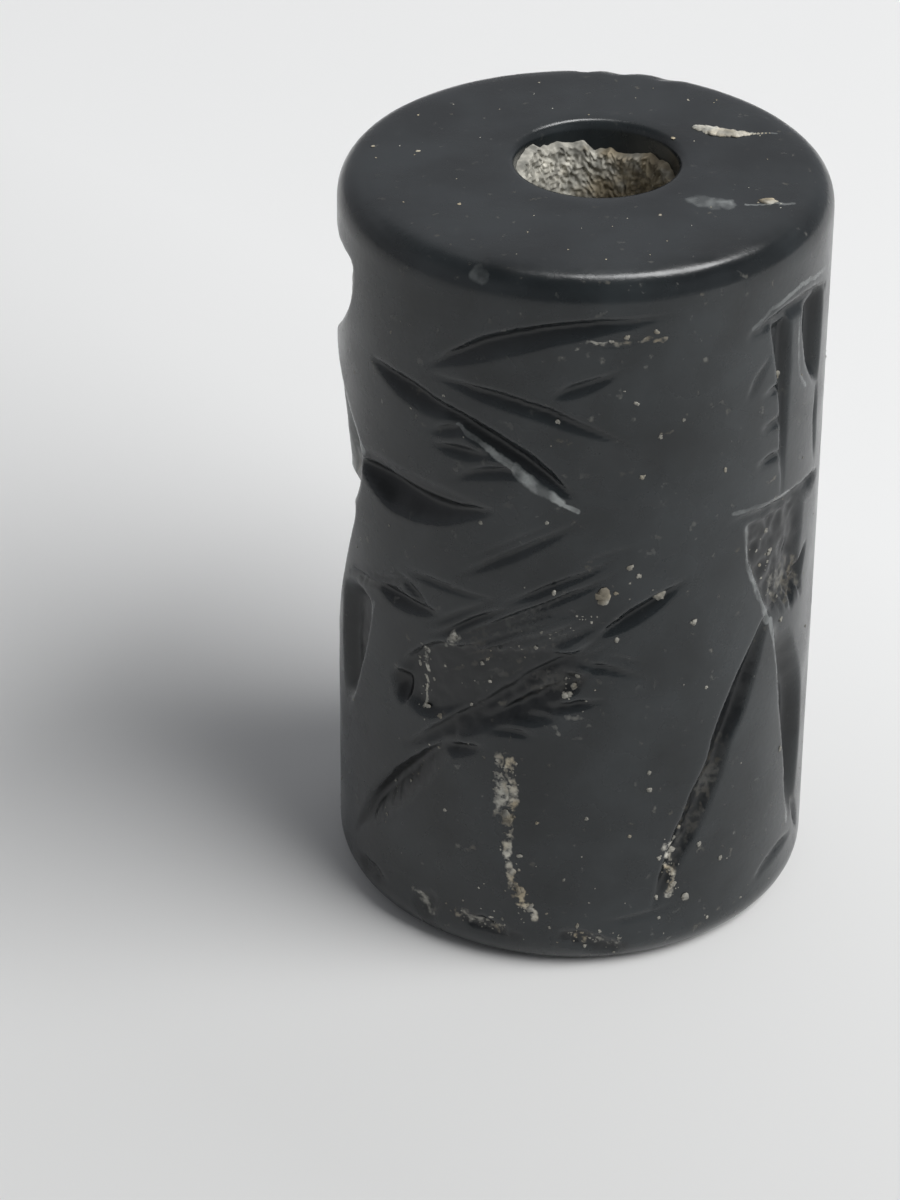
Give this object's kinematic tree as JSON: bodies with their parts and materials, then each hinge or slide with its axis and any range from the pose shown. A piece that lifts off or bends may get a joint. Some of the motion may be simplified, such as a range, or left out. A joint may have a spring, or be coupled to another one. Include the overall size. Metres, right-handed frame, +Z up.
{
  "type": "cylinder seal",
  "caption": "Short bored cylinder of dark polished stone with figures cut into its wall, rolled over clay to print them in relief.",
  "frame": {"origin": "middle of the underside's box, on the surface that the seal stands on", "axes": "+Z up along the seal's length, -Y towards the viewer of the scene's front, +X to the right"},
  "size_m": [0.0126, 0.0126, 0.0203],
  "materials": {
    "black_stone": "worn polish, satin on the wall and ends, duller in the cuts, with pale earth in the bore"
  },
  "bodies": {
    "root": {"seal_stone": "black_stone"}
  },
  "joints": []
}
